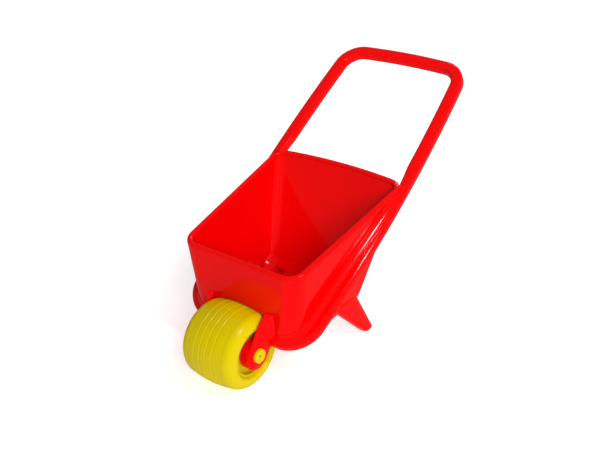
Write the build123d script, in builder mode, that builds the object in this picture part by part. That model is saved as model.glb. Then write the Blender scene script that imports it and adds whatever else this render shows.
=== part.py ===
from build123d import *
import math
import os

os.makedirs("parts", exist_ok=True)

# Toy wheelbarrow. X is across, Y runs from the wheel (front, -Y) to the handle (rear, +Y), Z is up.
# The origin is on the floor, under the middle of the object. All sizes are in millimetres.

# ---- overall sizes -------------------------------------------------------------------------
overall_length = 606.0        # front of the wheel to the back of the grip
overall_width = 284.0         # across the side rails at their widest

# ---- wheel and axle ------------------------------------------------------------------------
wheel_radius = 66.7
wheel_width = 104.4
wheel_crown = 4.2             # how much lower the tread is at its shoulders than in the middle
wheel_shoulder = 20.7         # radius of the rounded shoulders
wheel_wall = 2.4
hub_face_depth = 14.0         # how deep the hub face lies inside the wheel's side
hub_radius = 9.0
recess_lip = 3.0              # step from the shoulder's inner edge to the recess wall
groove_radius = 1.1           # half-round grooves round the tread
groove_spacing = 12.0
groove_count = 4
spigot_length = 6.0
spigot_wall = 2.0
spigot_clearance = 0.15
axle_radius = 4.0
axle_running_clearance = 0.08
axle_fixed_clearance = 0.05
axle_end_chamfer = 0.6

# ---- fork cheeks that carry the axle -------------------------------------------------------
cheek_thickness = 4.5
cheek_clearance = 1.0         # wheel side to cheek
cheek_radius = 25.0
cheek_top_height = 136.0
boss_clearance = 1.5          # wheel hub face to cheek boss
wheel_arch_clearance = 1.5
cap_radius = 11.7
cap_height = 5.2
cap_socket_depth = 3.2
cap_round = 1.8

# ---- frame: rails, grip and flange, all in one sloping plane -------------------------------
frame_slope = 31.9            # degrees above the floor
frame_front_setback = 19.7    # flange front edge behind the axle
frame_front_height = 80.6     # top of the flange at its front edge
frame_depth = 19.0
frame_front_width = 248.4
frame_rear_width = 257.0
frame_widest_at = 303.0       # distance up the slope
frame_front_corner = 62.0
frame_rear_corner = 42.0
frame_edge_round = 6.0
rail_width = 21.8
grip_width = 21.8
opening_front_corner = 4.0
grip_bow = 6.0                # rearward bow of the grip over its whole width
wall = 2.5                    # thickness of the hollow moulding's skin

# ---- tub -----------------------------------------------------------------------------------
rim_slope = 10.8              # degrees
rim_front_setback = 24.9      # front of the rim behind the axle
rim_front_height = 205.2
rim_front_width = 230.0
rim_rear_width = 268.0
rim_bow = 10.0                # rearward bow of the rear rim
rim_thickness = 10.0
rim_roll_radius = 5.3         # the rolled edge stands slightly proud of the wall
rim_front_corner = 30.0
rim_rear_corner = 24.0
base_height = 62.0            # underside of the tub
base_front_setback = 29.0
base_length = 184.0
base_front_width = 206.0
base_rear_width = 214.0
base_front_corner = 36.0
base_rear_corner = 28.0
base_edge_round = 22.0        # between the tub's sides and its underside
base_bow = 0.5                # rearward bow of the underside's and the floor's rear edges
floor_height = 75.0           # inside floor
trough_front_setback = 98.0   # front edge of the inside floor behind the axle
trough_length = 112.0
trough_front_width = 176.0
trough_rear_width = 184.0
trough_corner = 26.0

# ---- legs ----------------------------------------------------------------------------------
leg_spread = 196.0            # between the two leg centres at the root
leg_splay = 9.0               # how much further out each foot stands
leg_root_height = 84.0        # the leg's top, cut to the tub's rounded side
leg_root_length = 62.0
leg_root_width = 26.0
leg_root_setback = 172.0      # centre of the root behind the axle
leg_tip_length = 22.0
leg_tip_width = 20.0
leg_tip_setback = 231.0
leg_wall = 2.5
leg_plate_thickness = 4.0
leg_root_round = 9.0
leg_tip_round = 8.0
leg_foot_round = 3.0
leg_hollow_top = 52.0
leg_hollow_bottom = 10.0
leg_screw_spread = 122.0      # between the two screws
leg_screw_setback = 199.0
leg_boss_radius = 7.0
leg_boss_length = 12.0
screw_recess_radius = 14.0
screw_recess_depth = 8.0
screw_radius = 2.0
screw_clearance = 0.2
screw_head_radius = 4.5
screw_head_height = 2.8
screw_head_round = 1.0
screw_length = 15.0
slot_width = 1.2
slot_depth = 1.4

# ---- worked out from the sizes above -------------------------------------------------------
slope = math.radians(frame_slope)
axle_y = wheel_radius - overall_length / 2
axle_z = wheel_radius
frame_front_y = axle_y + frame_front_setback
frame_length = frame_edge_round + (
    overall_length / 2 - frame_edge_round - frame_front_y
    - math.sin(slope) * (frame_depth - frame_edge_round)
) / math.cos(slope)

FRAME = Plane(
    origin=(0, frame_front_y, frame_front_height),
    x_dir=(1, 0, 0),
    z_dir=(0, -math.sin(slope), math.cos(slope)),
)
rim_tilt = math.radians(rim_slope)
RIM = Plane(
    origin=(0, axle_y + rim_front_setback, rim_front_height),
    x_dir=(1, 0, 0),
    z_dir=(0, -math.sin(rim_tilt), math.cos(rim_tilt)),
)
RIM_MIDDLE = RIM.offset(-rim_thickness / 2)
# The rim plane meets the frame plane where the rails leave the tub.
junction_y = (
    rim_front_height - math.tan(rim_tilt) * (axle_y + rim_front_setback)
    - frame_front_height + math.tan(slope) * frame_front_y
) / (math.tan(slope) - math.tan(rim_tilt))
rim_length = (junction_y - axle_y - rim_front_setback) / math.cos(rim_tilt)
junction_up_slope = (junction_y - frame_front_y) / math.cos(slope)

wheel_half_width = wheel_width / 2
cheek_inner_x = wheel_half_width + cheek_clearance
cheek_outer_x = cheek_inner_x + cheek_thickness
hub_face_x = wheel_half_width - hub_face_depth
boss_inner_x = hub_face_x + boss_clearance
cheek_top = (base_front_setback + wall, cheek_top_height - axle_z)
cheek_bottom = (base_front_setback + wall, base_height + frame_edge_round - axle_z)
WHEEL = Plane(origin=(0, axle_y, axle_z), x_dir=(1, 0, 0), z_dir=(0, -1, 0))
AXLE = Axis((0, axle_y, axle_z), (1, 0, 0))
AXLE_SECTION = Plane(origin=(0, axle_y, axle_z), x_dir=(0, 1, 0), z_dir=(1, 0, 0))


def half_width(up_slope):
    """Half the frame's outer width at a distance up the slope: widest in the middle."""
    if up_slope < frame_widest_at:
        end_width = frame_front_width
        share = (up_slope - frame_widest_at) / frame_widest_at
    else:
        end_width = frame_rear_width
        share = (up_slope - frame_widest_at) / (frame_length - frame_widest_at)
    return overall_width / 2 - (overall_width - end_width) / 2 * share**2


def frame_outline(inset):
    """The frame's outer outline in its own plane, moved in by the inset."""
    rear = frame_length - inset
    front_x = half_width(inset) - inset
    rear_x = half_width(rear) - inset
    widest = (half_width(frame_widest_at) - inset, frame_widest_at)
    with BuildSketch() as outline:
        with BuildLine():
            Line((-front_x, inset), (front_x, inset))
            ThreePointArc((front_x, inset), widest, (rear_x, rear - grip_bow))
            ThreePointArc((rear_x, rear - grip_bow), (0, rear), (-rear_x, rear - grip_bow))
            ThreePointArc((-rear_x, rear - grip_bow), (-widest[0], widest[1]), (-front_x, inset))
        make_face()
        fillet(outline.vertices().sort_by(Axis.Y)[-2:], frame_rear_corner - inset)
        fillet(outline.vertices().sort_by(Axis.Y)[:2], frame_front_corner - inset)
    return outline.sketch


def handle_opening(outset):
    """The opening between the rear rim, the rails and the grip, grown by the outset."""
    front = junction_up_slope - outset
    rear = frame_length - grip_width + outset
    middle = (front + rear) / 2
    front_x = half_width(front) - rail_width + outset
    middle_x = half_width(middle) - rail_width + outset
    rear_x = half_width(rear) - rail_width + outset
    with BuildSketch() as outline:
        with BuildLine():
            Line((-front_x, front), (front_x, front))
            ThreePointArc((front_x, front), (middle_x, middle), (rear_x, rear - grip_bow))
            ThreePointArc((rear_x, rear - grip_bow), (0, rear), (-rear_x, rear - grip_bow))
            ThreePointArc((-rear_x, rear - grip_bow), (-middle_x, middle), (-front_x, front))
        make_face()
        fillet(outline.vertices().sort_by(Axis.Y)[-2:], frame_rear_corner - rail_width + outset)
        fillet(outline.vertices().sort_by(Axis.Y)[:2], opening_front_corner + outset)
    return outline.sketch


def tub_outline(front, rear, front_width, rear_width, bow, front_corner, rear_corner):
    """A level or tilted section of the tub: straight front and sides, bowed rear, round corners."""
    with BuildSketch() as outline:
        with BuildLine():
            Line((-front_width / 2, front), (front_width / 2, front))
            Line((front_width / 2, front), (rear_width / 2, rear))
            ThreePointArc((rear_width / 2, rear), (0, rear + bow), (-rear_width / 2, rear))
            Line((-rear_width / 2, rear), (-front_width / 2, front))
        make_face()
        fillet(outline.vertices().sort_by(Axis.Y)[-2:], rear_corner)
        fillet(outline.vertices().sort_by(Axis.Y)[:2], front_corner)
    return outline.sketch


def rim_outline(inset):
    """The tub's outline in the rim plane, moved in by the inset."""
    return tub_outline(
        inset, rim_length - inset, rim_front_width - 2 * inset, rim_rear_width - 2 * inset,
        rim_bow, rim_front_corner - inset, rim_rear_corner - inset,
    )


def base_outline(inset):
    """The tub's outline at its underside, moved in by the inset."""
    front = axle_y + base_front_setback + inset
    return tub_outline(
        front, front + base_length - 2 * inset, base_front_width - 2 * inset,
        base_rear_width - 2 * inset, base_bow, base_front_corner - inset, base_rear_corner - inset,
    )


def floor_outline(outset):
    """The outline of the inside floor, moved out by the outset."""
    front = axle_y + trough_front_setback - outset
    return tub_outline(
        front, front + trough_length + 2 * outset, trough_front_width + 2 * outset,
        trough_rear_width + 2 * outset, base_bow, trough_corner + outset, trough_corner + outset,
    )


def touch_point(corner, turn):
    """Where a straight edge from a corner touches the cheek's round end."""
    distance = math.hypot(corner[0], corner[1])
    angle = math.atan2(corner[1], corner[0]) + turn * math.acos(cheek_radius / distance)
    return (cheek_radius * math.cos(angle), cheek_radius * math.sin(angle))


def screw_places():
    """The two leg screws, in plan."""
    return Locations(
        (-leg_screw_spread / 2, axle_y + leg_screw_setback),
        (leg_screw_spread / 2, axle_y + leg_screw_setback),
    )


def trough_block(outset):
    """The inside of the tub as a solid, grown by the outset on its walls and floor."""
    with BuildPart() as block:
        with BuildSketch(RIM_MIDDLE):
            add(rim_outline(rim_thickness - outset))
        with BuildSketch(Plane.XY.offset(floor_height - outset)):
            add(floor_outline(outset))
        loft()
        with BuildSketch(RIM_MIDDLE):
            add(rim_outline(rim_thickness - outset))
        extrude(amount=rim_thickness)
    return block.part


def wheel_space(outset):
    """The round space that the wheel turns in, grown by the outset."""
    reach = cheek_inner_x + outset
    with BuildPart() as space:
        with BuildSketch(AXLE_SECTION.offset(-reach)):
            Circle(wheel_radius + wheel_arch_clearance + outset)
        extrude(amount=2 * reach)
        fillet(space.edges().filter_by(GeomType.CIRCLE), wheel_shoulder + cheek_clearance + outset)
    return space.part


# ---- body moulding: tub, rails, grip and fork cheeks ---------------------------------------
rim_path = (RIM_MIDDLE * rim_outline(rim_thickness / 2)).face().outer_wire()
with BuildPart() as tub:
    with BuildSketch(RIM_MIDDLE):
        add(rim_outline(0))
    with BuildSketch(Plane.XY.offset(base_height)):
        add(base_outline(0))
    loft()
    fillet(tub.faces().sort_by(Axis.Z)[0].edges(), base_edge_round)

with BuildPart() as rim_roll:
    with BuildSketch(Plane(origin=rim_path @ 0, z_dir=rim_path % 0)):
        Circle(rim_roll_radius)
    sweep(path=rim_path)

with BuildPart() as frame:
    with BuildSketch(FRAME):
        add(frame_outline(0))
        add(handle_opening(0), mode=Mode.SUBTRACT)
    extrude(amount=-frame_depth)
    for side in frame.faces().filter_by(FRAME):
        fillet(side.edges(), frame_edge_round)

with BuildPart() as tub_filling:
    with BuildSketch(RIM_MIDDLE):
        add(rim_outline(wall))
    with BuildSketch(Plane.XY.offset(base_height + wall)):
        add(base_outline(wall))
    loft()
    fillet(tub_filling.faces().sort_by(Axis.Z)[0].edges(), base_edge_round - wall)

# The sealed space inside the hollow moulding.
with BuildPart() as hollow:
    with BuildSketch(FRAME.offset(-wall)):
        add(frame_outline(wall))
        add(handle_opening(wall), mode=Mode.SUBTRACT)
    extrude(amount=2 * wall - frame_depth)
    add(tub_filling.part)
    add(trough_block(wall), mode=Mode.SUBTRACT)
    add(wheel_space(wall), mode=Mode.SUBTRACT)
    with BuildSketch(Plane.XY.offset(base_height)):
        with screw_places():
            Circle(screw_recess_radius + wall)
    extrude(amount=floor_height - base_height, mode=Mode.SUBTRACT)

with BuildPart() as barrow_body:
    add(frame.part)
    add(tub.part)
    add(rim_roll.part)
    add(trough_block(0), mode=Mode.SUBTRACT)
    add(wheel_space(0), mode=Mode.SUBTRACT)
    for cheek_start in (cheek_inner_x, -cheek_outer_x):
        with BuildSketch(AXLE_SECTION.offset(cheek_start)):
            Circle(cheek_radius)
            with BuildLine():
                Polyline(
                    cheek_top, touch_point(cheek_top, 1), (0, 0),
                    touch_point(cheek_bottom, -1), cheek_bottom, close=True,
                )
            make_face()
        extrude(amount=cheek_thickness)
    for boss_start in (boss_inner_x, -cheek_inner_x):
        with BuildSketch(AXLE_SECTION.offset(boss_start)):
            Circle(cheek_radius)
        extrude(amount=cheek_inner_x - boss_inner_x)
    with BuildSketch(AXLE_SECTION.offset(-cheek_outer_x)):
        Circle(axle_radius + axle_fixed_clearance)
    extrude(amount=2 * cheek_outer_x, mode=Mode.SUBTRACT)
    with BuildSketch(Plane.XY.offset(floor_height)):
        with screw_places():
            Circle(screw_recess_radius)
    extrude(amount=-screw_recess_depth, mode=Mode.SUBTRACT)
    with BuildSketch(Plane.XY.offset(base_height)):
        with screw_places():
            Circle(screw_radius + screw_clearance)
    extrude(amount=floor_height - base_height, mode=Mode.SUBTRACT)
    add(hollow.part, mode=Mode.SUBTRACT)

barrow_body.part.label = "barrow_body"
export_step(barrow_body.part, "parts/barrow_body.step")

# ---- legs: hollow feet with a plate that screws up under the floor -------------------------
def leg_section(height, inset):
    """The leg's level section at a height, blended between its tip and its root, moved in."""
    share = height / leg_root_height
    width = leg_tip_width + (leg_root_width - leg_tip_width) * share - 2 * inset
    length = leg_tip_length + (leg_root_length - leg_tip_length) * share - 2 * inset
    corner = leg_tip_round + (leg_root_round - leg_tip_round) * share - inset
    setback = leg_tip_setback + (leg_root_setback - leg_tip_setback) * share
    across = leg_spread / 2 + leg_splay * (1 - share)
    with BuildSketch(Plane.XY.offset(height)) as section:
        with Locations((across, axle_y + setback)):
            RectangleRounded(width, length, corner)
    return section.sketch


with BuildPart() as leg_filling:
    add(leg_section(leg_hollow_top, leg_wall))
    add(leg_section(leg_hollow_bottom, leg_wall))
    loft()

with BuildPart() as leg_right:
    add(leg_section(leg_root_height, 0))
    add(leg_section(0, 0))
    loft()
    fillet(leg_right.faces().sort_by(Axis.Z)[0].edges(), leg_foot_round)
    plate_inner_x = leg_screw_spread / 2 - leg_boss_radius
    with BuildSketch(Plane.XY.offset(base_height)):
        with Locations((plate_inner_x, axle_y + leg_screw_setback)):
            Rectangle(
                leg_spread / 2 - plate_inner_x, 2 * leg_boss_radius, align=(Align.MIN, Align.CENTER)
            )
    extrude(amount=-leg_plate_thickness)
    with BuildSketch(Plane.XY.offset(base_height)):
        with Locations((leg_screw_spread / 2, axle_y + leg_screw_setback)):
            Circle(leg_boss_radius)
    extrude(amount=-leg_boss_length)
    add(tub.part, mode=Mode.SUBTRACT)
    add(leg_filling.part, mode=Mode.SUBTRACT)
    with BuildSketch(Plane.XY.offset(base_height)):
        with Locations((leg_screw_spread / 2, axle_y + leg_screw_setback)):
            Circle(screw_radius)
    extrude(amount=-leg_boss_length, mode=Mode.SUBTRACT)

leg_right.part.label = "leg_right"
export_step(leg_right.part, "parts/leg_right.step")

with BuildPart() as leg_left:
    mirror(leg_right.part, about=Plane.YZ)

leg_left.part.label = "leg_left"
export_step(leg_left.part, "parts/leg_left.step")

# ---- leg screws ----------------------------------------------------------------------------
screw_seat_z = floor_height - screw_recess_depth
with BuildPart() as leg_screws:
    with BuildSketch(Plane.XY.offset(screw_seat_z)):
        with screw_places():
            Circle(screw_head_radius)
    extrude(amount=screw_head_height)
    fillet(leg_screws.faces().filter_by(Plane.XY).group_by(Axis.Z)[-1].edges(), screw_head_round)
    with BuildSketch(Plane.XY.offset(screw_seat_z)):
        with screw_places():
            Circle(screw_radius)
    extrude(amount=-screw_length)
    with BuildSketch(Plane.XY.offset(screw_seat_z + screw_head_height)):
        with screw_places():
            Rectangle(screw_head_radius, slot_width)
            Rectangle(slot_width, screw_head_radius)
    extrude(amount=-slot_depth, mode=Mode.SUBTRACT)

leg_screws.part.label = "leg_screws"
export_step(leg_screws.part, "parts/leg_screws.step")

# ---- wheel: two hollow halves that meet in the middle --------------------------------------
shoulder_x = wheel_half_width - wheel_shoulder
shoulder_z = wheel_radius - wheel_crown - wheel_shoulder
recess_radius = shoulder_z - recess_lip
bore_radius = axle_radius + axle_running_clearance
crown_arc_radius = (shoulder_x**2 + wheel_crown**2) / (2 * wheel_crown)


def tread_height(across):
    """Tread radius at a distance from the wheel's middle, on the crown's arc."""
    return wheel_radius - crown_arc_radius + math.sqrt(crown_arc_radius**2 - across**2)


def half_wheel():
    """The right half of the wheel as a shell, from its middle to its hub face and side."""
    half_across = shoulder_x / 2
    diagonal = math.sqrt(0.5)
    inner_shoulder = wheel_shoulder - wheel_wall
    outer = [
        (shoulder_x + wheel_shoulder * diagonal, shoulder_z + wheel_shoulder * diagonal),
        (wheel_half_width, shoulder_z),
    ]
    inner = [
        (shoulder_x + inner_shoulder * diagonal, shoulder_z + inner_shoulder * diagonal),
        (wheel_half_width - wheel_wall, shoulder_z),
    ]
    with BuildPart() as half:
        with BuildSketch(WHEEL):
            with BuildLine():
                tread_end = (shoulder_x, wheel_radius - wheel_crown)
                ThreePointArc((0, wheel_radius), (half_across, tread_height(half_across)), tread_end)
                ThreePointArc(tread_end, outer[0], outer[1])
                Polyline(
                    outer[1],
                    (wheel_half_width - wheel_wall / 2, recess_radius),
                    (hub_face_x, recess_radius - recess_lip),
                    (hub_face_x, bore_radius),
                    (0, bore_radius),
                    (0, hub_radius),
                    (hub_face_x - wheel_wall, hub_radius),
                    (hub_face_x - wheel_wall, recess_radius - recess_lip + wheel_wall),
                    (wheel_half_width - 2 * wheel_wall, recess_radius + wheel_wall),
                    inner[1],
                )
                inside_end = (shoulder_x, wheel_radius - wheel_crown - wheel_wall)
                ThreePointArc(inner[1], inner[0], inside_end)
                ThreePointArc(
                    inside_end,
                    (half_across, tread_height(half_across) - wheel_wall),
                    (0, wheel_radius - wheel_wall),
                )
                Line((0, wheel_radius - wheel_wall), (0, wheel_radius))
            make_face()
            for index in range(groove_count // 2):
                across = (index + 0.5) * groove_spacing
                with Locations((across, tread_height(across))):
                    Circle(groove_radius, mode=Mode.SUBTRACT)
        revolve(axis=AXLE)
    return half.part


with BuildPart() as wheel_half_right:
    add(half_wheel())

wheel_half_right.part.label = "wheel_half_right"
export_step(wheel_half_right.part, "parts/wheel_half_right.step")

# The left half is the right one mirrored, with a spigot that centres the two.
with BuildPart() as wheel_half_left:
    mirror(half_wheel(), about=Plane.YZ)
    spigot_top = tread_height(spigot_length) - wheel_wall - spigot_clearance
    with BuildSketch(WHEEL):
        with BuildLine():
            Polyline(
                (-spigot_length, tread_height(spigot_length) - wheel_wall + spigot_clearance),
                (0, tread_height(spigot_length) - wheel_wall + spigot_clearance),
                (0, spigot_top),
                (spigot_length, spigot_top),
                (spigot_length, spigot_top - spigot_wall),
                (-spigot_length, spigot_top - spigot_wall),
                close=True,
            )
        make_face()
    revolve(axis=AXLE)

wheel_half_left.part.label = "wheel_half_left"
export_step(wheel_half_left.part, "parts/wheel_half_left.step")

# ---- axle and its two caps -----------------------------------------------------------------
axle_half_length = cheek_outer_x + cap_socket_depth
with BuildPart() as axle_rod:
    with BuildSketch(AXLE_SECTION.offset(-axle_half_length)):
        Circle(axle_radius)
    extrude(amount=2 * axle_half_length)
    chamfer(axle_rod.faces().filter_by(Plane.YZ).edges(), axle_end_chamfer)

axle_rod.part.label = "axle_rod"
export_step(axle_rod.part, "parts/axle_rod.step")

with BuildPart() as axle_cap_right:
    with BuildSketch(AXLE_SECTION.offset(cheek_outer_x)):
        Circle(cap_radius)
    extrude(amount=cap_height)
    fillet(axle_cap_right.faces().sort_by(Axis.X)[-1].edges(), cap_round)
    with BuildSketch(AXLE_SECTION.offset(cheek_outer_x)):
        Circle(axle_radius)
    extrude(amount=cap_socket_depth, mode=Mode.SUBTRACT)

axle_cap_right.part.label = "axle_cap_right"
export_step(axle_cap_right.part, "parts/axle_cap_right.step")

with BuildPart() as axle_cap_left:
    mirror(axle_cap_right.part, about=Plane.YZ)

axle_cap_left.part.label = "axle_cap_left"
export_step(axle_cap_left.part, "parts/axle_cap_left.step")
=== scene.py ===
import math

import bmesh
import bpy
import numpy as np
from mathutils import Matrix, Vector


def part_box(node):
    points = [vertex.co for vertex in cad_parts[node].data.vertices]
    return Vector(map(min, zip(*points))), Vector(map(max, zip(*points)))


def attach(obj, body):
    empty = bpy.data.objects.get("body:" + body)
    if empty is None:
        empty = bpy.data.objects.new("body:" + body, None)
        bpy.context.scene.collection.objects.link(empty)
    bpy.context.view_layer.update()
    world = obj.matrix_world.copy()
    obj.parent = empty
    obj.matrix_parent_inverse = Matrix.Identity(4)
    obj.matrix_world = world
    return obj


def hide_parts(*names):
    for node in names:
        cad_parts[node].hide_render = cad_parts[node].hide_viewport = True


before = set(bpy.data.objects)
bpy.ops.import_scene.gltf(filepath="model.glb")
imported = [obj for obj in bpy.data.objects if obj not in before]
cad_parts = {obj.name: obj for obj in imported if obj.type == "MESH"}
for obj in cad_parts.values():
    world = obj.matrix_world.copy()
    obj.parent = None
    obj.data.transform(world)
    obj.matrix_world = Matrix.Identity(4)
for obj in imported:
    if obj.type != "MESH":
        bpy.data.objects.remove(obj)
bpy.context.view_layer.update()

# The object is a child's plastic wheelbarrow. X is across, Y runs from the wheel to the grip, Z is up.
# Everything is in metres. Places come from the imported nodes, shapes from the sizes below.

wheel_low, wheel_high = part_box("wheel_half_right")
half_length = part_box("barrow_body")[1].y
wheel_radius = (wheel_high.z - wheel_low.z) / 2
wheel_half_width = wheel_high.x
axle_y = (wheel_high.y + wheel_low.y) / 2
axle_z = wheel_radius

# ---- the frame: one loop of two rails, the grip and a flange round the tub's front ----------
frame_slope = math.radians(31.9)
frame_front = (axle_y + 0.0197, 0.0806)  # the front of its top face, in y and z
frame_front_half = 0.1242
frame_rear_half = 0.1285
widest_half = 0.142  # half the width where the rails bow out most
frame_widest_at = 0.303  # how far up the slope that is
frame_depth = 0.019
frame_front_corner = 0.053
frame_rear_corner = 0.042
frame_edge_round = 0.006
rail_width = 0.0218
flange_depth = 0.024
grip_bow = 0.006

# ---- the tub: its rim, its underside, its inside and its screw wells -----------------------
rim_slope = math.radians(10.8)
rim_front = (axle_y + 0.0249, 0.2052)  # the front of the rim, in y and z
rim_front_half = 0.115
rim_rear_half = 0.134
rim_bow = 0.010
rim_thickness = 0.010
rim_roll_radius = 0.005
rim_front_corner = 0.030
rim_rear_corner = 0.024
base_height = 0.062
base_front = axle_y + 0.029
base_length = 0.184
base_front_half = 0.103
base_rear_half = 0.107
base_front_corner = 0.036
base_rear_corner = 0.028
base_edge_round = 0.022
rear_edge_share = 0.2  # the rear lower edge is rounded by this share of the front one
floor_height = 0.075
floor_corner_round = 0.014
trough_front = axle_y + 0.098
trough_length = 0.112
trough_front_half = 0.088
trough_rear_half = 0.092
trough_corner = 0.026
well_radius = 0.0112
well_depth = 0.008
well_draft = 0.001  # how much narrower a well is at its bottom
well_lip = 0.0016
screw_head_radius = 0.0045
arch_gap = 0.0012
arch_edge_round = 0.0014
upper_cove_radius = 0.009
lower_cove_radius = 0.004

# ---- the wheel and its caps ----------------------------------------------------------------
wheel_crown = 0.0033  # how far the tread falls from its middle to its shoulder
wheel_shoulder = 0.0185
side_roll = 0.0045
dish_depth = 0.0066
dish_drop = 0.0062  # below the shoulder, along the radius
dish_edge_round = 0.0007
dish_step_round = 0.0015
hub_depth = 0.014  # how deep the hub's face lies inside the wheel
hub_corner_round = 0.002
wheel_bore_radius = 0.0041
groove_places = (0.006, 0.018)  # across, from the wheel's middle
groove_depth = 0.0011
groove_half_width = 0.00075
seam_depth = 0.0004
seam_half_width = 0.0004
cap_edge_round = 0.0018

# ---- the fork's cheeks ---------------------------------------------------------------------
cheek_inner_x = wheel_half_width + 0.001
cheek_outer_x = cheek_inner_x + 0.0045
cheek_radius = 0.025
cheek_top_height = 0.134
cheek_shoulder_place = (0.009, 0.119)  # behind the axle, and above the floor
cheek_shoulder_round = 0.008
cheek_edge_round = 0.0016
cheek_blend = 0.018  # how far the cheek spreads into the front wall
loop_start = cheek_inner_x + 0.0015  # where the flange and the coves begin, beside the cheeks
boss_inner_x = wheel_half_width - hub_depth + 0.0015
boss_edge_round = 0.002

# ---- the legs ------------------------------------------------------------------------------
leg_centre_x = 0.098
leg_height = 0.084
leg_splay = 0.009  # how far out the foot is from the root
leg_lean = 0.059  # how far forward the root is from the foot
leg_squareness = 3.4  # the power of the superellipse
foot_setback = 0.231
foot_half_x = 0.010
foot_half_y = 0.011
foot_share = 0.09  # the part of the height that closes the foot
root_half_x = 0.013
root_half_y = 0.031
tab_inner_x = 0.052
tab_outer_x = 0.100
tab_near_y = axle_y + 0.192
tab_far_y = axle_y + 0.206
tab_depth = 0.0115


# ---- meshes --------------------------------------------------------------------------------
def add_piece(name, points, faces, material, body, node):
    """A smooth-shaded mesh object from points and faces, riding on a body in place of a node."""
    mesh = bpy.data.meshes.new(name)
    mesh.from_pydata(points.tolist(), [], faces)
    mesh.validate()
    mesh.polygons.foreach_set("use_smooth", np.ones(len(mesh.polygons), bool))
    mesh.update()
    piece = bpy.data.objects.new(name, mesh)
    bpy.context.scene.collection.objects.link(piece)
    mesh.materials.append(material)
    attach(piece, body)
    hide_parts(node)
    return piece


def grid_faces(rows, columns, wrap_rows, wrap_columns, start=0):
    """Quads over a grid of points, row by row, joined end to end where it wraps."""
    row = np.arange(rows if wrap_rows else rows - 1)[:, None]
    column = np.arange(columns if wrap_columns else columns - 1)[None, :]
    next_row = (row + 1) % rows
    next_column = (column + 1) % columns
    corners = [row * columns + column, row * columns + next_column,
               next_row * columns + next_column, next_row * columns + column]
    return (np.stack([c + start for c in np.broadcast_arrays(*corners)], -1)
            .reshape(-1, 4).tolist())


# ---- materials -----------------------------------------------------------------------------
def join(tree, source, target):
    """A link between two sockets."""
    tree.links.new(source, target)


def add_moulded_skin():
    """A node group for a moulded or plated skin: a soft unevenness with a fine grain as a height, slow
    clouds to mix two shades by, and small handling marks."""
    group = bpy.data.node_groups.new("moulded_skin", "ShaderNodeTree")
    for side, names in (("INPUT", ("Wave Size", "Grain Size")), ("OUTPUT", ("Height", "Clouds", "Marks"))):
        for name in names:
            group.interface.new_socket(name=name, in_out=side, socket_type="NodeSocketFloat")
    nodes = group.nodes
    start, end = nodes.new("NodeGroupInput"), nodes.new("NodeGroupOutput")
    place = nodes.new("ShaderNodeTexCoord")
    wave, grain, clouds, marks = (nodes.new("ShaderNodeTexNoise") for _ in range(4))
    for noise in (wave, grain, clouds, marks):
        join(group, place.outputs["Object"], noise.inputs["Vector"])
    join(group, start.outputs["Wave Size"], wave.inputs["Scale"])
    join(group, start.outputs["Grain Size"], grain.inputs["Scale"])
    clouds.inputs["Scale"].default_value = 9
    clouds.inputs["Detail"].default_value = 3
    marks.inputs["Scale"].default_value = 45
    marks.inputs["Detail"].default_value = 8
    marks.inputs["Roughness"].default_value = 0.7
    fine = nodes.new("ShaderNodeMath")
    fine.operation = "MULTIPLY_ADD"
    fine.inputs[1].default_value = 0.06
    join(group, grain.outputs["Fac"], fine.inputs[0])
    join(group, wave.outputs["Fac"], fine.inputs[2])
    ramp = nodes.new("ShaderNodeValToRGB")
    ramp.color_ramp.elements[0].position = 0.52
    ramp.color_ramp.elements[1].position = 0.72
    join(group, marks.outputs["Fac"], ramp.inputs["Fac"])
    join(group, fine.outputs[0], end.inputs["Height"])
    join(group, clouds.outputs["Fac"], end.inputs["Clouds"])
    join(group, ramp.outputs["Color"], end.inputs["Marks"])
    return group


moulded_skin = add_moulded_skin()


def moulded_plastic(name, light, deep, gloss, worn_gloss, bump, specular):
    """Moulded plastic: two shades mixed by slow clouds, gloss dulled by marks, a faint uneven skin."""
    material = bpy.data.materials.new(name)
    material.use_nodes = True
    tree = material.node_tree
    shader = tree.nodes["Principled BSDF"]
    skin = tree.nodes.new("ShaderNodeGroup")
    skin.node_tree = moulded_skin
    skin.inputs["Wave Size"].default_value = 55
    skin.inputs["Grain Size"].default_value = 900
    colour = tree.nodes.new("ShaderNodeMix")
    colour.data_type = "RGBA"
    colour.inputs[6].default_value = (*light, 1)
    colour.inputs[7].default_value = (*deep, 1)
    join(tree, skin.outputs["Clouds"], colour.inputs["Factor"])
    join(tree, colour.outputs[2], shader.inputs["Base Color"])
    dull = tree.nodes.new("ShaderNodeMapRange")
    dull.inputs["To Min"].default_value = gloss
    dull.inputs["To Max"].default_value = worn_gloss
    join(tree, skin.outputs["Marks"], dull.inputs["Value"])
    join(tree, dull.outputs["Result"], shader.inputs["Roughness"])
    height = tree.nodes.new("ShaderNodeBump")
    height.inputs["Strength"].default_value = bump
    height.inputs["Distance"].default_value = 0.0006
    join(tree, skin.outputs["Height"], height.inputs["Height"])
    join(tree, height.outputs["Normal"], shader.inputs["Normal"])
    shader.inputs["Specular IOR Level"].default_value = specular
    return material


def plated_steel(name, colour, rough):
    """Metal whose gloss is dulled in small marks."""
    material = bpy.data.materials.new(name)
    material.use_nodes = True
    tree = material.node_tree
    shader = tree.nodes["Principled BSDF"]
    shader.inputs["Base Color"].default_value = (*colour, 1)
    shader.inputs["Metallic"].default_value = 1
    skin = tree.nodes.new("ShaderNodeGroup")
    skin.node_tree = moulded_skin
    skin.inputs["Wave Size"].default_value = 200
    skin.inputs["Grain Size"].default_value = 2500
    dull = tree.nodes.new("ShaderNodeMapRange")
    dull.inputs["To Min"].default_value = rough
    dull.inputs["To Max"].default_value = rough + 0.25
    join(tree, skin.outputs["Marks"], dull.inputs["Value"])
    join(tree, dull.outputs["Result"], shader.inputs["Roughness"])
    return material


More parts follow.
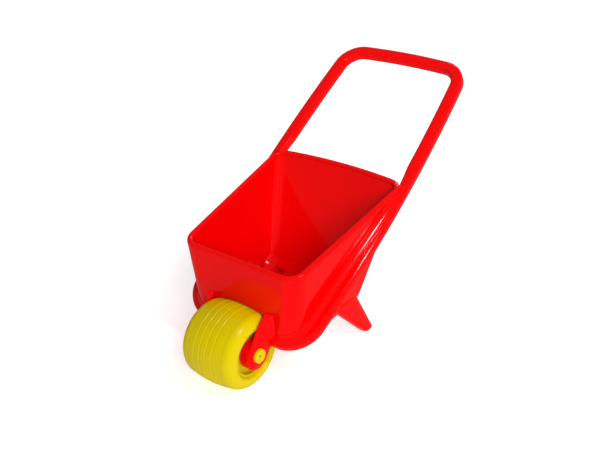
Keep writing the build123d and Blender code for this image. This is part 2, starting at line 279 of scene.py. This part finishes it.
red = moulded_plastic(
    "red_plastic_skin", light=(0.80, 0.0, 0.0), deep=(0.71, 0.0, 0.0006),
    gloss=0.1, worn_gloss=0.15, bump=0.03, specular=0.2)
yellow = moulded_plastic(
    "yellow_plastic_skin", light=(0.62, 0.50, 0.0), deep=(0.52, 0.40, 0.0),
    gloss=0.25, worn_gloss=0.34, bump=0.1, specular=0.13)
steel = plated_steel("steel_skin", (0.62, 0.62, 0.63), 0.25)
zinc = plated_steel("zinc_skin", (0.10, 0.09, 0.08), 0.5)
finishes = {"leg_screws": zinc, "axle_rod": steel}
for name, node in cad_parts.items():
    node.data.materials.clear()
    node.data.materials.append(finishes.get(name, red))


# ---- outlines and planes -------------------------------------------------------------------
def outline(front, rear, front_half, rear_half, front_corner, rear_corner, bow, counts):
    """A closed outline, front middle first and round by the right side: straight front, slanting
    sides, straight rear, with a circle's arc of the given radius at each corner. The rear is
    then bowed out by a parabola. Every size may be a column of values, one for each ring."""
    edge, corner, side = counts
    slant = np.arctan2(rear_half - front_half, rear - front)
    front_x = front_half - front_corner * (1 - np.sin(slant)) / np.cos(slant)
    rear_x = rear_half - rear_corner * (1 + np.sin(slant)) / np.cos(slant)
    share = np.linspace(0, 1, edge, endpoint=False)[None, :]
    turn = np.linspace(0, 1, corner, endpoint=False)[None, :]
    along = np.linspace(0, 1, side, endpoint=False)[None, :]
    front_turn = -np.pi / 2 + (np.pi / 2 - slant) * turn
    rear_turn = -slant + (np.pi / 2 + slant) * turn
    front_end = (front_x + front_corner * np.cos(slant), front + front_corner * (1 - np.sin(slant)))
    rear_end = (rear_x + rear_corner * np.cos(slant), rear - rear_corner * (1 + np.sin(slant)))
    x = [front_x * share, front_x + front_corner * np.cos(front_turn),
         front_end[0] + (rear_end[0] - front_end[0]) * along,
         rear_x + rear_corner * np.cos(rear_turn), rear_x * (1 - share)]
    y = [front + 0 * share, front + front_corner + front_corner * np.sin(front_turn),
         front_end[1] + (rear_end[1] - front_end[1]) * along,
         rear - rear_corner + rear_corner * np.sin(rear_turn), rear + 0 * share]
    x = np.concatenate([np.broadcast_to(part, (front_x.shape[0], part.shape[1])) for part in x], 1)
    y = np.concatenate([np.broadcast_to(part, (front_x.shape[0], part.shape[1])) for part in y], 1)
    reach = np.clip((y - front) / (rear - front), 0, 1)
    y = y + bow * (1 - (x / rear_half) ** 2) * reach**6
    x = np.concatenate([x, np.zeros_like(x[:, :1]), -x[:, :0:-1]], 1)
    y = np.concatenate([y, rear + bow + 0 * x[:, :1], y[:, :0:-1]], 1)
    return np.stack([x, y], -1)


def column(values):
    """Values as one number for each ring of a piece."""
    return np.atleast_1d(np.asarray(values, float))[:, None]


def frame_place(across, up_slope, height):
    """Places given in the frame's sloping plane: across, up the slope, and above its top face."""
    y = frame_front[0] + up_slope * math.cos(frame_slope) - height * math.sin(frame_slope)
    z = frame_front[1] + up_slope * math.sin(frame_slope) + height * math.cos(frame_slope)
    return np.stack(np.broadcast_arrays(across, y, z), -1)


def rim_place(flat, height):
    """Places given in the rim's tilted plane: a flat outline and a height above the plane."""
    y = rim_front[0] + flat[..., 1] * math.cos(rim_slope) - height * math.sin(rim_slope)
    z = rim_front[1] + flat[..., 1] * math.sin(rim_slope) + height * math.cos(rim_slope)
    return np.stack([flat[..., 0], y, z], -1)


junction_y = (
    rim_front[1] - math.tan(rim_slope) * rim_front[0]
    - frame_front[1] + math.tan(frame_slope) * frame_front[0]
) / (math.tan(frame_slope) - math.tan(rim_slope))
rim_length = (junction_y - rim_front[0]) / math.cos(rim_slope)
junction_up = (junction_y - frame_front[0]) / math.cos(frame_slope)
frame_length = frame_edge_round + (
    half_length - frame_edge_round - frame_front[0]
    - math.sin(frame_slope) * (frame_depth - frame_edge_round)
) / math.cos(frame_slope)
tub_counts = (14, 14, 24)


# ---- the tub -------------------------------------------------------------------------------
def rim_ring(inset, height):
    """The rim's outline moved in by the inset, at a height above the rim plane's middle."""
    flat = outline(
        inset, rim_length - inset, rim_front_half - inset, rim_rear_half - inset,
        rim_front_corner - inset, rim_rear_corner - inset, rim_bow, tub_counts,
    )
    return rim_place(flat, height - rim_thickness / 2)


def wall_ring(rise, inset):
    """The tub's outside: a straight blend, by the rise, from the underside's outline to the rim's."""
    flat = outline(
        base_front + inset, base_front + base_length - rear_edge_share * inset, base_front_half - inset,
        base_rear_half - inset, base_front_corner - inset, base_rear_corner - inset, 0.0005, tub_counts,
    )
    low = np.concatenate([flat, np.full_like(flat[..., :1], base_height)], -1)
    return low * (1 - rise[..., None]) + rim_ring(inset, 0) * rise[..., None]


def trough_ring(rise, inset):
    """The tub's inside: a straight blend, by the rise, from the floor's outline to the rim's inner edge."""
    flat = outline(
        trough_front + inset, trough_front + trough_length - inset, trough_front_half - inset,
        trough_rear_half - inset, trough_corner - inset, trough_corner - inset, 0.0005, tub_counts,
    )
    low = np.concatenate([flat, np.full_like(flat[..., :1], floor_height)], -1)
    return low * (1 - rise[..., None]) + rim_ring(rim_thickness + inset, 0) * rise[..., None]


def tub_rings():
    """All rings of the tub, from the underside's edge up the outside, over the rolled rim as a
    circle's arc, down the inside and round the floor's corner as a quarter circle."""
    height = rim_front[1] - base_height
    turn = column(np.linspace(0, np.pi / 2, 12))
    edge = wall_ring(
        base_edge_round * (1 - np.cos(turn)) / height, base_edge_round * (1 - np.sin(turn)))
    wall = wall_ring(column(np.linspace(0.18, 0.985, 16)), column(np.zeros(16)))
    start = -math.acos(rim_thickness / 2 / rim_roll_radius)
    turn = column(np.linspace(start, np.pi - start, 17))
    roll = rim_ring(rim_thickness / 2 - rim_roll_radius * np.cos(turn), rim_roll_radius * np.sin(turn))
    inside = trough_ring(column(np.linspace(0.985, 0.13, 16)), column(np.zeros(16)))
    turn = column(np.linspace(0, np.pi / 2, 8))
    depth = rim_front[1] - floor_height
    corner = trough_ring(
        floor_corner_round * (1 - np.sin(turn)) / depth, floor_corner_round * (1 - np.cos(turn)))
    return np.concatenate([edge, wall, roll, inside, corner])


def closed_rings(rings):
    """Points and faces of rings joined one to the next, with a fan to a middle point at each end."""
    rows, columns = rings.shape[:2]
    ends = np.stack([rings[0].mean(0), rings[-1].mean(0)])
    points = np.concatenate([rings.reshape(-1, 3), ends])
    faces = grid_faces(rows, columns, False, True)
    here = np.arange(columns)
    after = (here + 1) % columns
    low = np.stack([np.full(columns, rows * columns), after, here], -1)
    last = (rows - 1) * columns
    high = np.stack([np.full(columns, rows * columns + 1), last + here, last + after], -1)
    return points, faces + low.tolist() + high.tolist()


def cut_round(piece, place, turn, profile, steps=96):
    """Cuts a turned solid out of a piece. The profile is (along, radius) pairs, and each pair becomes a
    circle about the local Z axis, which is then turned and moved to the place."""
    along, radius = np.array(profile).T
    angle = np.linspace(0, 2 * np.pi, steps, endpoint=False)[None, :]
    rings = np.stack([radius[:, None] * np.cos(angle), radius[:, None] * np.sin(angle),
                      np.broadcast_to(along[:, None], (len(along), steps))], -1)
    points, faces = closed_rings(rings)
    mesh = bpy.data.meshes.new("cutter")
    mesh.from_pydata(points.tolist(), [], faces)
    cutter = bpy.data.objects.new("cutter", mesh)
    bpy.context.scene.collection.objects.link(cutter)
    cutter.matrix_world = Matrix.Translation(place) @ turn
    cut = piece.modifiers.new("cut", "BOOLEAN")
    cut.operation = "DIFFERENCE"
    cut.solver = "EXACT"
    cut.object = cutter
    settle(piece)
    bpy.data.objects.remove(cutter)


def settle(piece):
    """Puts a piece's modifiers into its mesh."""
    shown = piece.evaluated_get(bpy.context.evaluated_depsgraph_get())
    mesh = bpy.data.meshes.new_from_object(shown)
    piece.modifiers.clear()
    piece.data = mesh


def add_tub():
    """The tub, with the wheel's arch cut out of its front and two screw wells in its floor. The arch
    is the wheel's own profile and a gap: a crown that falls as the square of the distance from the
    middle, then a circle's arc. A well has a lip that is a quarter circle."""
    points, faces = closed_rings(tub_rings())
    tub = add_piece("tub", points, faces, red, "chassis", "barrow_body")
    side = cheek_inner_x - 0.0001
    along_x = Matrix.Rotation(math.pi / 2, 4, "Y")
    flat = np.linspace(0.001, wheel_half_width - wheel_shoulder, 10)
    crown = wheel_radius + arch_gap - wheel_crown * (flat / flat[-1]) ** 2
    turn = np.linspace(np.pi / 2 - 0.1, 0.2, 12)
    reach = wheel_shoulder + arch_gap
    bend_x = flat[-1] + reach * np.cos(turn)
    bend_r = crown[-1] - reach * (1 - np.sin(turn))
    across = np.concatenate([flat, bend_x, [side]])
    radius = np.concatenate([crown, bend_r, [bend_r[-1] - 0.004]])
    arch = np.stack([across, radius], -1)
    cut_round(tub, (0, axle_y, axle_z), along_x, [(-x, r) for x, r in arch[::-1]] + arch.tolist())
    edge = tub.modifiers.new("arch_edge", "BEVEL")
    edge.width = arch_edge_round
    edge.segments = 4
    edge.limit_method = "ANGLE"
    edge.angle_limit = math.radians(45)
    settle(tub)
    turn = np.linspace(0, np.pi / 2, 6)
    well = [(-well_depth, well_radius - well_draft)] + [
        (-well_lip * (1 - math.sin(t)), well_radius + well_lip * (1 - math.cos(t))) for t in turn]
    well += [(0.004, well_radius + well_lip)]
    low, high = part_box("leg_screws")
    for across in (low.x + screw_head_radius, high.x - screw_head_radius):
        place = (across, (low.y + high.y) / 2, floor_height)
        cut_round(tub, place, Matrix.Identity(4), well)
    tub.data.set_sharp_from_angle(angle=math.radians(38))


# ---- the frame: rails, grip and flange in one loop -----------------------------------------
def frame_half(up_slope):
    """Half the frame's width up the slope: a parabola to each side of its widest place."""
    low = (up_slope - frame_widest_at) / frame_widest_at
    high = (up_slope - frame_widest_at) / (frame_length - frame_widest_at)
    return np.where(low < 0, widest_half - (widest_half - frame_front_half) * low**2,
                    widest_half - (widest_half - frame_rear_half) * high**2)


def wall_half(y, z):
    """Half the tub's outside width at a height, blended between the underside and the rim."""
    low = base_front_half + (base_rear_half - base_front_half) * (y - base_front) / base_length
    reach = (y - rim_front[0]) / (junction_y - rim_front[0])
    rim_z = rim_front[1] + (y - rim_front[0]) * math.tan(rim_slope)
    rise = (z - base_height) / (rim_z - base_height)
    return low + (rim_front_half + (rim_rear_half - rim_front_half) * reach - low) * rise


def frame_rings():
    """The loop's cross-sections, from the right cheek round the grip to the left one. Each is a
    rectangle with round corners, as wide as the rail, or wide enough to reach into the tub's wall."""
    counts = (24, 28, 90)
    flat = outline(
        column(0.0), column(frame_length - grip_bow), column(frame_front_half), column(frame_rear_half),
        column(frame_front_corner), column(frame_rear_corner), grip_bow, counts)[0]
    chord = frame_front_half + (frame_rear_half - frame_front_half) * flat[:, 1] / (frame_length - grip_bow)
    flat[:, 0] *= frame_half(flat[:, 1]) / chord
    ahead = np.roll(flat, -1, 0) - np.roll(flat, 1, 0)
    inward = np.stack([-ahead[:, 1], ahead[:, 0]], -1)
    inward /= np.linalg.norm(inward, axis=1)[:, None]
    place = frame_place(flat[:, 0], flat[:, 1], 0)
    reach = np.abs(flat[:, 0]) - wall_half(place[:, 1], place[:, 2]) + 0.005
    on_side = (flat[:, 1] > frame_front_corner) & (flat[:, 1] < junction_up - 0.004)
    width = np.where(on_side, reach, rail_width)
    width = np.where(flat[:, 1] <= frame_front_corner, flange_depth, width)
    smooth = np.pad(width, 6, mode="wrap")
    width = np.convolve(smooth, np.ones(13) / 13, "valid")
    turn = np.linspace(0, np.pi / 2, 7)
    r = frame_edge_round
    half_depth = frame_depth / 2
    arc_a, arc_h = r * np.cos(turn), r * np.sin(turn)
    # Corners in turn: outer top, inner top, inner bottom, outer bottom.
    outer_top = np.stack([r - arc_a, half_depth - r + arc_h], -1)
    inner_top = np.stack([arc_a[::-1] - r, half_depth - r + arc_h[::-1]], -1)
    inner_low = inner_top[::-1] * (1, -1)
    outer_low = outer_top[::-1] * (1, -1)
    section = np.concatenate([outer_top, inner_top, inner_low, outer_low])
    on_inner = np.zeros(len(section))
    on_inner[len(turn):3 * len(turn)] = 1
    depth_in = section[None, :, 0] + on_inner[None, :] * width[:, None]
    height = section[None, :, 1] - half_depth
    across = flat[:, 0:1] + inward[:, 0:1] * depth_in
    up = flat[:, 1:2] + inward[:, 1:2] * depth_in
    rings = frame_place(across, up, np.broadcast_to(height, across.shape))
    keep = (flat[:, 1] > 0.01) | (np.abs(flat[:, 0]) > loop_start)
    return rings[keep]


def add_frame_loop():
    """The loop as one closed piece, its rings joined in turn from cheek to cheek."""
    points, faces = closed_rings(frame_rings())
    add_piece("frame_loop", points, faces, red, "chassis", "barrow_body")


# ---- coves, cheeks and bosses --------------------------------------------------------------
def wall_at_height(ring_low, ring_high, height):
    """Where the straight lines of the tub's wall cross a plane parallel to the frame's top face."""
    normal = np.array([0, -math.sin(frame_slope), math.cos(frame_slope)])
    level = frame_place(0.0, 0.0, 0.0) @ normal + height
    low, high = ring_low @ normal, ring_high @ normal
    share = ((level - low) / (high - low))[..., None]
    return ring_low + (ring_high - ring_low) * share


def cove_rings(radius, face, upward):
    """A hollow fillet along the tub's side between its wall and a face of the frame. Each section
    is a quarter circle that is tangent to both, closed by one point buried in the wall."""
    low = wall_ring(column(0.0), column(0.0))[0]
    high = wall_ring(column(1.0), column(0.0))[0]
    foot = wall_at_height(low, high, face)
    ahead = np.roll(foot, -1, 0) - np.roll(foot, 1, 0)
    ahead /= np.linalg.norm(ahead, axis=1)[:, None]
    normal = np.array([0, -math.sin(frame_slope), math.cos(frame_slope)])
    outward = np.cross(ahead, normal)
    rear_gap = junction_y - foot[:, 1]
    size = radius * np.clip(rear_gap / 0.05, 0.02, 1)
    turn = np.linspace(0, np.pi / 2, 9)
    points = []
    for angle in turn:
        rise = size * (1 - math.sin(angle)) * upward
        out = size * (1 - math.cos(angle))
        points.append(wall_at_height(low, high, face + rise) + outward * out[:, None])
    points.append(foot - outward * 0.004 - normal * 0.003 * upward)
    rings = np.stack(points, 1)
    count = len(rings)
    order = np.concatenate([np.arange(count // 2, count), np.arange(count // 2)])
    rings, rear_gap = rings[order], rear_gap[order]
    keep = (rear_gap > 0.004) & (
        (np.abs(rings[:, 0, 0]) > loop_start) | (rings[:, 0, 1] > base_front + 0.05))
    return rings[keep & (rings[:, 0, 0] > 0)], rings[keep & (rings[:, 0, 0] < 0)]


def add_coves():
    """Four hollow fillets: above and below the frame, on each side of the tub. The lower ones begin
    behind the front corner."""
    for radius, face, upward, name in (
            (upper_cove_radius, 0.0, 1, "upper"), (lower_cove_radius, -frame_depth, -1, "lower")):
        for rings, side in zip(cove_rings(radius, face, upward), ("right", "left")):
            if upward < 0:
                rings = rings[rings[:, 0, 1] > base_front + 0.045]
            points, faces = closed_rings(rings)
            piece = add_piece(
                f"{name}_cove_{side}", points, faces, red, "chassis", "barrow_body")
            turn_outward(piece)


def turn_outward(piece):
    """Points all faces of a closed mesh outwards."""
    work = bmesh.new()
    work.from_mesh(piece.data)
    bmesh.ops.recalc_face_normals(work, faces=work.faces)
    work.to_mesh(piece.data)
    work.free()


def cheek_outline(steps=72):
    """A round end about the axle. Its front edge runs up by a straight tangent to a round shoulder and
    back to the tub's front wall; its lower edge is the other tangent."""
    root_y = base_front + 0.006 - axle_y
    top = np.array((root_y, cheek_top_height - axle_z))
    shoulder = np.array((cheek_shoulder_place[0], cheek_shoulder_place[1] - axle_z))
    low = np.array((root_y, base_height + 0.006 - axle_z))
    turns = []
    for corner, turn in ((shoulder, 1), (low, -1)):
        distance = math.hypot(*corner)
        turns.append(math.atan2(corner[1], corner[0]) + turn * math.acos(cheek_radius / distance))
    angle = np.linspace(turns[0], turns[1] + 2 * math.pi, steps)
    end = np.stack([cheek_radius * np.cos(angle), cheek_radius * np.sin(angle)], -1)
    # The shoulder is a parabola between points the same distance before and after the corner.
    share = np.linspace(0, 1, 13)[:, None]
    before = shoulder + (top - shoulder) / np.linalg.norm(top - shoulder) * cheek_shoulder_round
    after = shoulder + (end[0] - shoulder) / np.linalg.norm(end[0] - shoulder) * cheek_shoulder_round
    bend = before * (1 - share) ** 2 + shoulder * 2 * share * (1 - share) + after * share**2
    side = np.linspace(0, 1, 12, endpoint=False)[:, None]
    ledge = top * (1 - side) + before * side
    upper = after * (1 - side[1:]) + end[0] * side[1:]
    lower = end[-1] * (1 - side) + low * side
    root = low * (1 - side) + top * side
    return np.concatenate([ledge, bend, upper, end, lower[1:], root])


def plate_rings(loop, inner, outer, edge_round):
    """A flat plate on a convex outline, with both rims rounded by quarter circles."""
    ahead = np.roll(loop, -1, 0) - np.roll(loop, 1, 0)
    inward = np.stack([-ahead[:, 1], ahead[:, 0]], -1)
    inward /= np.linalg.norm(inward, axis=1)[:, None]
    turn = np.linspace(0, np.pi / 2, 6)
    inset = edge_round * (1 - np.sin(turn))
    across = inner + edge_round * (1 - np.cos(turn))
    inset = np.concatenate([inset, inset[::-1]])
    across = np.concatenate([across, inner + outer - across[::-1]])
    flat = loop[None] + inward[None] * inset[:, None, None]
    return np.stack([np.broadcast_to(across[:, None], flat.shape[:2]),
                     flat[..., 0] + axle_y, flat[..., 1] + axle_z], -1)


def add_cheeks():
    """The fork's cheeks: flat plates with round bosses behind them. Each plate's outer face is swept
    out by a quarter circle, so that it runs into the tub's front wall in a hollow curve."""
    for sign, side in ((1, "right"), (-1, "left")):
        loop = cheek_outline()
        rings = plate_rings(loop, cheek_inner_x, cheek_outer_x, cheek_edge_round)
        angle = np.linspace(0, 2 * np.pi, 72, endpoint=False)
        circle = np.stack([np.cos(angle), np.sin(angle)], -1) * cheek_radius
        boss = plate_rings(circle, boss_inner_x, cheek_inner_x + boss_edge_round, boss_edge_round)
        spread = np.linspace(0.04, 1, 10)[:, None]
        near = cheek_blend * (1 - np.sqrt(1 - (1 - spread) ** 2))
        swell = np.broadcast_to(rings[-3], (len(spread),) + rings[-3].shape).copy()
        swell[..., 0] = cheek_outer_x - 0.0002 + cheek_blend * spread
        swell[..., 1] = np.maximum(swell[..., 1], base_front - near)
        swell[..., 2] = np.maximum(swell[..., 2], frame_front[1] - frame_depth / 2)
        rings = np.concatenate([rings[:-3], swell])
        for name, piece_rings in ((f"cheek_{side}", rings), (f"cheek_boss_{side}", boss)):
            points, faces = closed_rings(piece_rings * (sign, 1, 1))
            piece = add_piece(name, points, faces, red, "chassis", "barrow_body")
            turn_outward(piece)


add_tub()
add_frame_loop()
add_coves()
add_cheeks()


# ---- wheel, caps and legs ------------------------------------------------------------------
def turned_rings(profile, steps):
    """A closed profile of (across, radius) pairs turned about the axle: each pair becomes a circle."""
    across, radius = np.array(profile).T
    angle = np.linspace(0, 2 * np.pi, steps, endpoint=False)[None, :]
    return np.stack([np.broadcast_to(across[:, None], (len(across), steps)),
                     axle_y + radius[:, None] * np.cos(angle),
                     axle_z + radius[:, None] * np.sin(angle)], -1)


def add_turned(name, profile, sign, steps, material, body, node):
    """A turned piece whose closed profile joins its last ring to its first."""
    rings = turned_rings(profile, steps) * (sign, 1, 1)
    rows, columns = rings.shape[:2]
    faces = grid_faces(rows, columns, True, True)
    piece = add_piece(name, rings.reshape(-1, 3), faces, material, body, node)
    turn_outward(piece)
    piece.data.set_sharp_from_angle(angle=math.radians(40))


def arc(centre, radius, start, end, count):
    """Points of a circle's arc, from one angle to another, in degrees."""
    turn = np.radians(np.linspace(start, end, count))
    return list(zip(centre[0] + radius * np.cos(turn), centre[1] + radius * np.sin(turn)))


def tread(across):
    """The tread's radius: a crown that falls as the square of the distance from the middle, less
    round-bottomed grooves with soft edges, and a fine seam where the halves meet."""
    groove = sum(
        groove_depth * np.exp(-((across - place) / groove_half_width) ** 2) for place in groove_places)
    seam = seam_depth * np.exp(-(across / seam_half_width) ** 2)
    return wheel_radius - wheel_crown * (across / shoulder_across) ** 2 - groove - seam


shoulder_across = wheel_half_width - wheel_shoulder
shoulder_height = wheel_radius - wheel_crown - wheel_shoulder


def add_wheel():
    """Two halves: a crowned grooved tread, then circles' arcs for the shoulder, the roll into the dished
    side, a fine step, and the corner of the hub's face deep inside."""
    across = np.linspace(0, shoulder_across, 120)
    profile = list(zip(across, tread(across)))
    profile += arc((shoulder_across, shoulder_height), wheel_shoulder, 89, 0, 26)
    profile += arc((wheel_half_width - side_roll, shoulder_height), side_roll, -6, -58, 9)
    dish = (wheel_half_width - dish_depth, shoulder_height - dish_drop)
    profile += arc(dish, dish_edge_round, 70, -10, 5)
    profile += arc((dish[0] - 0.0008, dish[1] - 0.0032), dish_step_round, 80, 5, 5)
    hub = wheel_half_width - hub_depth
    profile += arc((hub + hub_corner_round, dish[1] - 0.0052), hub_corner_round, 90, 180, 6)
    profile += [(hub, wheel_bore_radius), (0.0, wheel_bore_radius)]
    for sign, side in ((1, "right"), (-1, "left")):
        add_turned(f"wheel_shell_{side}", profile, sign, 160, yellow,
                   "wheel", f"wheel_half_{side}")


def add_caps():
    """Push-on caps: a raised rim, rounded by circles' arcs, round a shallow dish with a small moulding
    mark in the middle."""
    low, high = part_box("axle_cap_right")
    radius = (high.z - low.z) / 2
    face = high.x
    profile = [(low.x, 0.0002), (low.x, radius)]
    profile += arc((face - cap_edge_round, radius - cap_edge_round), cap_edge_round, 60, 0, 7)
    profile += [(face, radius - 0.0024)] + arc((face - 0.0008, radius - 0.0036), 0.0008, 40, -20, 4)
    profile += [(face - 0.0012, radius - 0.0052), (face - 0.0012, 0.0020)]
    profile += [(face - 0.0020, 0.0016), (face - 0.0020, 0.0002)]
    for sign, side in ((1, "right"), (-1, "left")):
        add_turned(f"cap_{side}", profile, sign, 64, yellow,
                   "chassis", f"axle_cap_{side}")


def leg_rings():
    """The right leg's level sections: superellipses that shrink and lean back and out in straight lines
    from root to tip, and close in a quarter circle at the foot."""
    turn = np.linspace(0, np.pi / 2, 9)[1:]
    share = np.concatenate([np.linspace(1.1, foot_share, 26), foot_share * (1 - np.sin(turn))])
    foot = np.clip(1 - share / foot_share, 0, 1)
    shrink = 0.0075 * (1 - np.sqrt(1 - foot**2 * 0.96))
    half_x = foot_half_x + (root_half_x - foot_half_x) * share - shrink
    half_y = foot_half_y + (root_half_y - foot_half_y) * share - shrink
    back = foot_setback - leg_lean * share
    out = leg_centre_x + leg_splay * (1 - share)
    angle = np.linspace(0, 2 * np.pi, 64, endpoint=False)[None, :]
    power = 2 / leg_squareness
    x = np.sign(np.cos(angle)) * np.abs(np.cos(angle)) ** power * half_x[:, None]
    y = np.sign(np.sin(angle)) * np.abs(np.sin(angle)) ** power * half_y[:, None]
    z = np.broadcast_to(leg_height * share[:, None], x.shape)
    return np.stack([x + out[:, None], y + axle_y + back[:, None], z], -1)


def tab_corners():
    """The right leg's screw tab: a box below the tub, from the screw out to the leg's root."""
    plate = np.array([(tab_inner_x, tab_near_y), (tab_outer_x, tab_near_y),
                      (tab_outer_x, tab_far_y), (tab_inner_x, tab_far_y)])
    height = np.repeat([base_height - tab_depth, base_height + 0.002], 4)
    return np.column_stack([np.concatenate([plate, plate]), height])


def add_legs():
    """Two legs, each with its screw tab, whose edges are rounded."""
    box_faces = [(0, 1, 2, 3), (7, 6, 5, 4), (0, 4, 5, 1), (1, 5, 6, 2), (2, 6, 7, 3), (3, 7, 4, 0)]
    for sign, side in ((1, "right"), (-1, "left")):
        points, faces = closed_rings(leg_rings() * (sign, 1, 1))
        leg = add_piece(f"leg_post_{side}", points, faces, red, "chassis", f"leg_{side}")
        turn_outward(leg)
        tab = add_piece(f"leg_tab_{side}", tab_corners() * (sign, 1, 1), box_faces,
                        red, "chassis", f"leg_{side}")
        turn_outward(tab)
        soften = tab.modifiers.new("edges", "BEVEL")
        soften.width = 0.0012
        soften.segments = 3


add_wheel()
add_caps()
add_legs()


# ---- floor, light and camera ---------------------------------------------------------------
def add_floor():
    """A wide plain floor that glows faintly, so that it reads as a white page. The pieces don't mirror
    it, which keeps their colour deep."""
    mesh = bpy.data.meshes.new("floor")
    mesh.from_pydata([(-6, -6, 0), (6, -6, 0), (6, 6, 0), (-6, 6, 0)], [], [(0, 1, 2, 3)])
    floor = bpy.data.objects.new("floor", mesh)
    bpy.context.scene.collection.objects.link(floor)
    material = bpy.data.materials.new("floor_paper")
    material.use_nodes = True
    shader = material.node_tree.nodes["Principled BSDF"]
    shader.inputs["Base Color"].default_value = (0.93, 0.93, 0.93, 1)
    shader.inputs["Roughness"].default_value = 0.9
    shader.inputs["Emission Color"].default_value = (1, 1, 1, 1)
    shader.inputs["Emission Strength"].default_value = 0.5
    mesh.materials.append(material)
    floor.visible_glossy = False


def add_light(name, kind, place, target, power, size):
    """A soft light at a place, pointed at a target: a square panel, or a far lamp seen as a wide disc."""
    light = bpy.data.lights.new(name, kind)
    light.energy = power
    if kind == "SUN":
        light.angle = size
    else:
        light.size = size
    lamp = bpy.data.objects.new(name, light)
    bpy.context.scene.collection.objects.link(lamp)
    aim = Vector(target) - Vector(place)
    lamp.matrix_world = Matrix.Translation(place) @ aim.to_track_quat("-Z", "Y").to_matrix().to_4x4()
    return lamp


def add_strip_light(place, target, along, length, width, power):
    """A long soft box that faces a target and lies square to a direction."""
    lamp = add_light("strip_light", "AREA", place, target, power, length)
    lamp.data.shape = "RECTANGLE"
    lamp.data.size_y = width
    back = (Vector(place) - Vector(target)).normalized()
    side = Vector(along).cross(back).normalized()
    turn = Matrix((side, back.cross(side), back)).transposed().to_4x4()
    lamp.matrix_world = Matrix.Translation(place) @ turn


def add_camera():
    """The camera stands in front and to the right, looking down on the tub."""
    azimuth = math.radians(36.313)
    elevation = math.radians(28.242)
    roll = math.radians(-1.501)
    back = Vector((math.sin(azimuth) * math.cos(elevation),
                   -math.cos(azimuth) * math.cos(elevation), math.sin(elevation)))
    right = Vector((math.cos(azimuth), math.sin(azimuth), 0))
    up = back.cross(right)
    across = right * math.cos(roll) + up * math.sin(roll)
    upward = up * math.cos(roll) - right * math.sin(roll)
    data = bpy.data.cameras.new("camera")
    data.sensor_width = 36
    data.lens = 51.53
    data.shift_x = -0.0344
    data.shift_y = -0.0129
    camera = bpy.data.objects.new("camera", data)
    bpy.context.scene.collection.objects.link(camera)
    turn = Matrix((across, upward, back)).transposed().to_4x4()
    camera.matrix_world = Matrix.Translation((0.77354, -0.80256 + axle_y, 0.88163)) @ turn
    bpy.context.scene.camera = camera


add_floor()
add_light("key_light", "SUN", (1.2, -0.85, 0.75), (0, 0, 0), 2.1, math.radians(28)).visible_glossy = False
add_strip_light((1.105, -0.285, 1.42), (0.13, -0.08, 0.15),
                (0, math.cos(frame_slope), math.sin(frame_slope)), 0.6, 0.06, 13)
add_light("back_panel", "AREA", (-0.5, 1.6, 1.5), (0, 0, 0.15), 6, 0.6)
world = bpy.data.worlds.new("room")
world.use_nodes = True
world.node_tree.nodes["Background"].inputs["Color"].default_value = (1, 1, 1, 1)
world.node_tree.nodes["Background"].inputs["Strength"].default_value = 0.25
bpy.context.scene.world = world
bpy.context.scene.view_settings.view_transform = "Standard"
add_camera()
